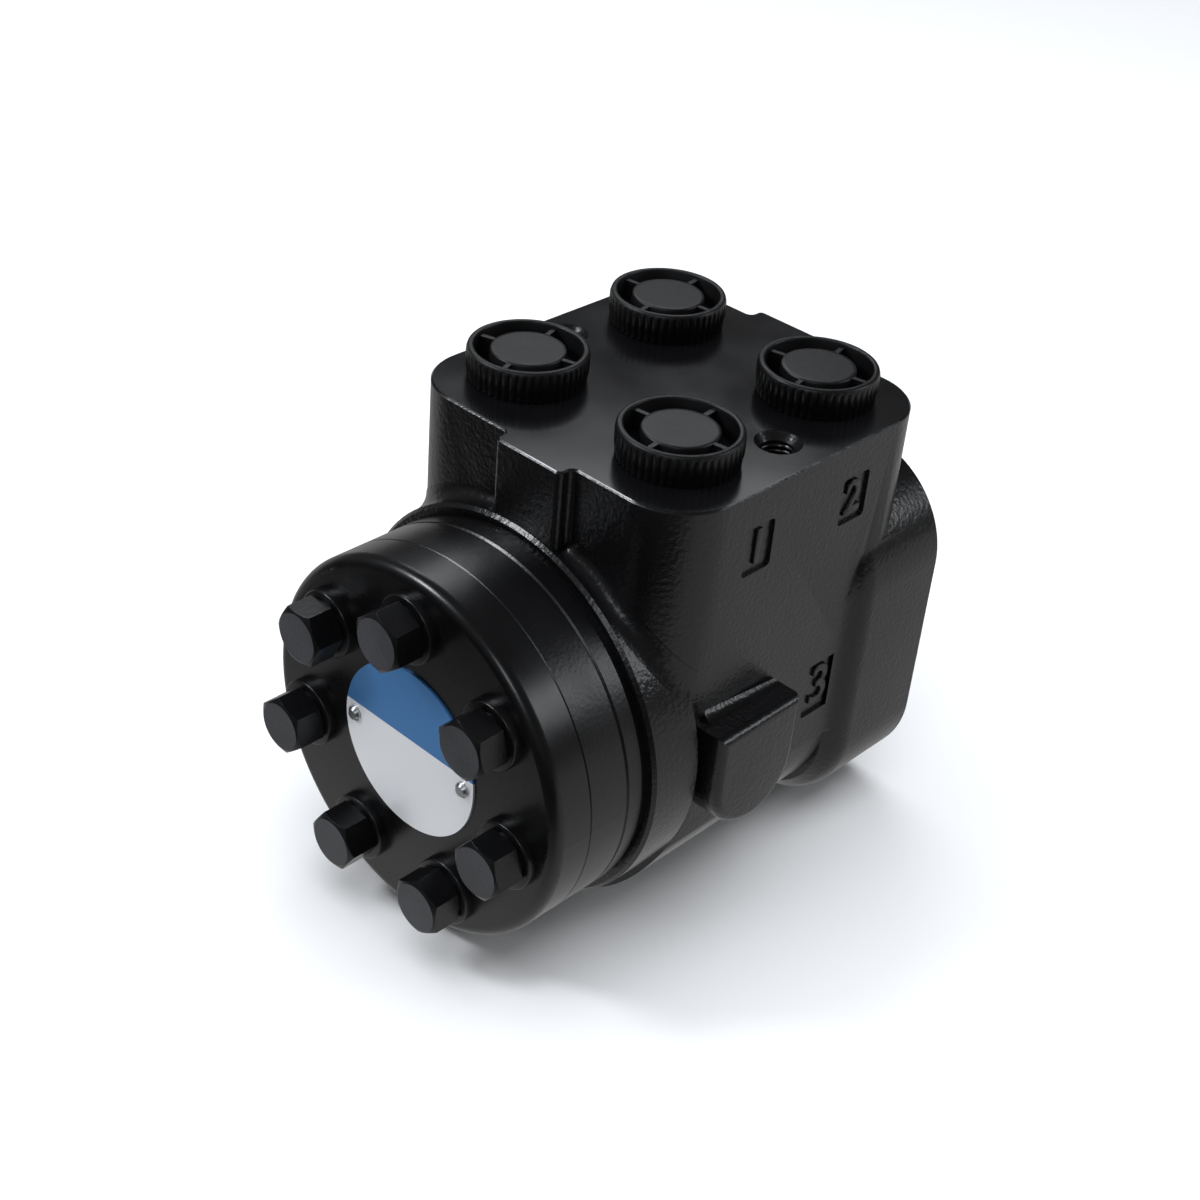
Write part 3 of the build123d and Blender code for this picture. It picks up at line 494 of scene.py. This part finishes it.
# ------------------------------------------------------------------ port plugs
# Four moulded plastic caps, pressed in by hand to keep dirt out. The skirt is ribbed for a grip,
# and a deep ring well with four thin webs leaves a disc standing in the middle.
PLUG_PLACES = ((-26.15 * MM, -84.2 * MM), (26.15 * MM, -84.2 * MM),
               (26.15 * MM, -31.4 * MM), (-26.15 * MM, -31.4 * MM))
PLUG_TURNS = (17, 6, 12, 8)     # degrees
PLUG_R = 15.85 * MM
PLUG_HIGH = 8.6 * MM
PLUG_BORE = 13.95 * MM
PLUG_FLOOR = 2.0 * MM
WELL_TAPER = 0.3 * MM
DISC_R = 9.8 * MM
DISC_TOP = 7.9 * MM
STEM_R = 9.25 * MM
STEM_BORE = 7.1 * MM
STEM_LONG = 12.0 * MM
STEM_SOFT = 0.5 * MM
FOOT_GAP = 0.05 * MM        # the skirt stops this far above the port face
FOOT_R = 15.5 * MM
GRIPS = 48
STEPS_A_GRIP = 8
GRIP_DEEP = 0.40 * MM
GRIP_STEP = 3.1 * MM
GRIP_END = 7.5 * MM
GRIP_INNER_R = 15.2 * MM
WEB_WIDE = 1.3 * MM
WEB_TOP = 7.6 * MM
WEB_LAP = 0.6 * MM          # the webs run into the disc and the skirt, and into the floor
WEB_SUNK = 0.2 * MM
plug_plastic = paint("plug_plastic", grain=2.5, grain_depth=0.05, peel_depth=0.004, rough=0.40)

# half of the cap cut through its middle, from the stem's bore up over the skirt to the disc
CAP_PROFILE = (
    (0, 0), (STEM_BORE, 0), (STEM_BORE, -STEM_LONG), (STEM_R - STEM_SOFT, -STEM_LONG),
    (STEM_R, -STEM_LONG + STEM_SOFT), (STEM_R, FOOT_GAP),
    (FOOT_R - 0.5 * MM, FOOT_GAP), (FOOT_R - 0.15 * MM, 0.3 * MM), (FOOT_R, 0.5 * MM),
    (FOOT_R, GRIP_STEP - 0.2 * MM), (PLUG_R, GRIP_STEP + 0.1 * MM), (PLUG_R, 7.3 * MM),
    (PLUG_R - 0.15 * MM, 7.7 * MM), (PLUG_R - 0.3 * MM, 8.2 * MM),
    (PLUG_R - 0.45 * MM, 8.45 * MM), (PLUG_R - 0.8 * MM, PLUG_HIGH),
    (PLUG_BORE + 0.35 * MM, PLUG_HIGH), (PLUG_BORE + 0.1 * MM, PLUG_HIGH - 0.1 * MM),
    (PLUG_BORE, PLUG_HIGH - 0.35 * MM),
    (PLUG_BORE - WELL_TAPER, PLUG_FLOOR), (DISC_R + WELL_TAPER, PLUG_FLOOR),
    (DISC_R, DISC_TOP - 0.45 * MM), (DISC_R - 0.12 * MM, DISC_TOP - 0.14 * MM),
    (DISC_R - 0.45 * MM, DISC_TOP), (DISC_R - 1.2 * MM, DISC_TOP), (0, DISC_TOP))
for number, (x, y) in enumerate(PLUG_PLACES):
    cap = bmesh.new()
    turned(cap, CAP_PROFILE, steps=GRIPS * STEPS_A_GRIP, axis=(0, 0, 1))
    # the grips are shallow flutes between narrow ribs, so the wave that cuts them is squared
    for v in cap.verts:
        r = v.co.xy.length
        if r > GRIP_INNER_R and v.co.z < GRIP_END:
            wave = 0.5 - 0.5 * cos(GRIPS * atan2(v.co.y, v.co.x))
            v.co.xy *= (r - GRIP_DEEP * wave ** 2) / r
    for quarter in range(4):
        web = bmesh.ops.create_cube(cap, size=1.0)["verts"]
        bmesh.ops.scale(cap, verts=web, vec=(PLUG_BORE - DISC_R + WEB_LAP, WEB_WIDE,
                                             WEB_TOP - PLUG_FLOOR + WEB_SUNK))
        bmesh.ops.translate(cap, verts=web, vec=((PLUG_BORE + DISC_R) / 2, 0,
                                                 (WEB_TOP + PLUG_FLOOR - WEB_SUNK) / 2))
        bmesh.ops.rotate(cap, verts=web, cent=(0, 0, 0),
                         matrix=Matrix.Rotation(quarter * pi / 2, 3, "Z"))
    bmesh.ops.rotate(cap, verts=cap.verts, cent=(0, 0, 0),
                     matrix=Matrix.Rotation(radians(PLUG_TURNS[number]), 3, "Z"))
    bmesh.ops.translate(cap, verts=cap.verts, vec=(x, y, PORT_FACE_Z))
    node = "port_plug_" + str(number + 1)
    plug = shaded("ribbed_cap_" + str(number + 1), cap, plug_plastic, sharp=50)
    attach(plug, node)
    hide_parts(node)

# ------------------------------------------------------------------ name plate
# A thin aluminium disc, screen printed with a blue band above and left silver below. It lies in
# the middle of the end cover, inside the ring of bolts, and a rivet on each side holds it.
BAND_Z = 4.5 * MM
SILVER = (0.80, 0.81, 0.83, 1)
BLUE = (0.055, 0.19, 0.43, 1)


def plate_sheet():
    """The plate's two plain areas, which meet at the lower edge of the band."""
    material = bpy.data.materials.new("plate_sheet")
    material.use_nodes = True
    tree = material.node_tree
    shader = tree.nodes["Principled BSDF"]
    band = tree.nodes.new("ShaderNodeMix")
    band.data_type = "RGBA"
    band.inputs["A"].default_value = SILVER
    band.inputs["B"].default_value = BLUE
    above = reckoned(tree, "GREATER_THAN", along(tree, "Z"), BAND_Z)
    tree.links.new(above, band.inputs["Factor"])
    tree.links.new(band.outputs["Result"], shader.inputs["Base Color"])
    shader.inputs["Roughness"].default_value = 0.30
    shader.inputs["Metallic"].default_value = 0.45
    return material


wear("name_plate", plate_sheet())

# ------------------------------------------------------------------ rivets
# Two small aluminium drive rivets with domed heads. They were knocked through the plate into
# blind holes in the cover after the painting, so they are bare.
wear("plate_rivets", metal("rivet_metal", (0.52, 0.53, 0.55), rough=0.3, scratch=900.0))

# ------------------------------------------------------------------ floor
# A plain pale floor under the unit that runs out of view, matt all over. The gloss of the black
# paint doesn't see it, because the card below stands in for it there.
FLOOR_Z = cad_bounds[0][2] - 0.2 * MM
FLOOR_HALF = 6.0
FLOOR_GREY = (0.88, 0.88, 0.88, 1)


def studio_thing(name, bm, material):
    """Stand a mesh in the studio. It isn't part of the unit."""
    mesh = bpy.data.meshes.new(name)
    bm.to_mesh(mesh)
    bm.free()
    mesh.materials.append(material)
    obj = bpy.data.objects.new(name, mesh)
    bpy.context.collection.objects.link(obj)
    return obj


def sheet(name, half, z, material):
    """A level square sheet, half across from its middle to its edge."""
    bm = bmesh.new()
    bmesh.ops.create_grid(bm, x_segments=1, y_segments=1, size=half)
    bmesh.ops.translate(bm, verts=bm.verts, vec=(0, 0, z))
    return studio_thing(name, bm, material)


floor_paint = bpy.data.materials.new("floor_paint")
floor_paint.use_nodes = True
floor_shader = floor_paint.node_tree.nodes["Principled BSDF"]
floor_shader.inputs["Base Color"].default_value = FLOOR_GREY
floor_shader.inputs["Roughness"].default_value = 1.0
floor_shader.inputs["Specular IOR Level"].default_value = 0.0
floor = sheet("floor", FLOOR_HALF, FLOOR_Z, floor_paint)
floor.visible_glossy = False

# ------------------------------------------------------------------ reflection card
# A glowing card just under the floor that only reflections see, as cards and flags shape the
# shine in a studio. It is pale under and behind the unit and nearly black in front of it.
CARD_HALF = 3.0
CARD_BELOW = 0.5 * MM
CARD_DARK_Y = -0.245
CARD_PALE_Y = -0.165
CARD_DARK = 0.02
CARD_PALE = 0.52
card_paint = bpy.data.materials.new("card_paint")
card_paint.use_nodes = True
card_tree = card_paint.node_tree
card_tree.nodes.clear()
card_out = card_tree.nodes.new("ShaderNodeOutputMaterial")
card_glow = card_tree.nodes.new("ShaderNodeEmission")
card_tree.links.new(card_glow.outputs["Emission"], card_out.inputs["Surface"])
card_fade = spread(card_tree, along(card_tree, "Y"), least=CARD_DARK, most=CARD_PALE,
                   low=CARD_DARK_Y, high=CARD_PALE_Y)
card_tree.links.new(card_fade, card_glow.inputs["Strength"])
card = sheet("reflection_card", CARD_HALF, FLOOR_Z - CARD_BELOW, card_paint)
card.visible_camera = False
card.visible_diffuse = False
card.visible_shadow = False

# ------------------------------------------------------------------ backdrop
# A round white backdrop all about the floor, which keeps low views pale to the top. It glows
# for the camera alone and lights nothing.
BACKDROP_R = 1.6
backdrop_paint = bpy.data.materials.new("backdrop_paint")
backdrop_paint.use_nodes = True
backdrop_shader = backdrop_paint.node_tree.nodes["Principled BSDF"]
backdrop_shader.inputs["Base Color"].default_value = (0, 0, 0, 1)
backdrop_shader.inputs["Specular IOR Level"].default_value = 0.0
backdrop_shader.inputs["Emission Color"].default_value = (1, 1, 1, 1)
backdrop_shader.inputs["Emission Strength"].default_value = 1.0
dome = bmesh.new()
bmesh.ops.create_uvsphere(dome, u_segments=64, v_segments=32, radius=BACKDROP_R)
bmesh.ops.reverse_faces(dome, faces=dome.faces)
backdrop = studio_thing("backdrop", dome, backdrop_paint)
backdrop.visible_diffuse = False
backdrop.visible_glossy = False
backdrop.visible_shadow = False
backdrop.visible_transmission = False

# ------------------------------------------------------------------ lamps
# A wide lamp above lights the floor evenly and stays out of the gloss. Four softboxes draw the
# highlights on the edges, the port face and the bolt heads, over a faint white surround.
LIT_MIDDLE = Vector((0.0, -0.08, 0.0))
LAMP_WHITE = (0.93, 0.96, 1.0)
SURROUND = 0.08
world = bpy.data.worlds.new("studio")
world.use_nodes = True
world.node_tree.nodes["Background"].inputs["Color"].default_value = (1, 1, 1, 1)
world.node_tree.nodes["Background"].inputs["Strength"].default_value = SURROUND
bpy.context.scene.world = world
bpy.context.scene.view_settings.view_transform = "Standard"     # white paper stays white


def soft_lamp(name, way, away, size, radiance, seen=True):
    """A lamp of this size in this direction from the unit, this far away and facing it."""
    wide, high = size
    data = bpy.data.lights.new(name, "AREA")
    data.shape = "RECTANGLE"
    data.size = wide
    data.size_y = high
    data.energy = radiance * pi * wide * high
    data.color = LAMP_WHITE
    lamp = bpy.data.objects.new(name, data)
    bpy.context.collection.objects.link(lamp)
    lamp.location = LIT_MIDDLE + Vector(way).normalized() * away
    lamp.rotation_euler = (LIT_MIDDLE - lamp.location).to_track_quat("-Z", "Y").to_euler()
    lamp.visible_glossy = seen
    lamp.visible_camera = False


soft_lamp("ceiling_flood", way=(0, 0, 1), away=2.4, size=(3.0, 3.0), radiance=3.2, seen=False)
soft_lamp("back_softbox", way=(-0.404, 0.328, 0.506), away=0.726, size=(0.44, 0.17), radiance=3.1)
soft_lamp("left_softbox", way=(-0.50, -0.56, 0.62), away=1.1, size=(0.22, 0.22), radiance=32.0)
soft_lamp("right_softbox", way=(0.66, 0.60, 0.46), away=1.0, size=(0.30, 0.30), radiance=5.0)
soft_lamp("front_softbox", way=(0.35, -0.78, 0.55), away=1.1, size=(0.28, 0.28), radiance=5.0)

# ------------------------------------------------------------------ camera
# A hand-held camera above the cover end, looking down across the port face. It is rolled a few
# degrees, so the unit stands a little askew.
CAMERA_PLACE = (285.9 * MM, -405.6 * MM, 308.3 * MM)
CAMERA_AZIMUTH = radians(41.10)
CAMERA_ELEVATION = radians(33.84)
CAMERA_ROLL = radians(5.26)
back = Vector((sin(CAMERA_AZIMUTH) * cos(CAMERA_ELEVATION),
               -cos(CAMERA_AZIMUTH) * cos(CAMERA_ELEVATION), sin(CAMERA_ELEVATION)))
level = Vector((0, 0, 1)).cross(back).normalized()
upright = back.cross(level)
right = level * cos(CAMERA_ROLL) + upright * sin(CAMERA_ROLL)
up = upright * cos(CAMERA_ROLL) - level * sin(CAMERA_ROLL)
camera_data = bpy.data.cameras.new("camera")
camera_data.lens = 58.9
camera_data.sensor_width = 36.0
camera_data.clip_start = 0.01
camera_data.clip_end = 20.0
camera = bpy.data.objects.new("camera", camera_data)
bpy.context.collection.objects.link(camera)
turn = Matrix((right, up, back)).transposed().to_4x4()
camera.matrix_world = Matrix.Translation(CAMERA_PLACE) @ turn
bpy.context.scene.camera = camera
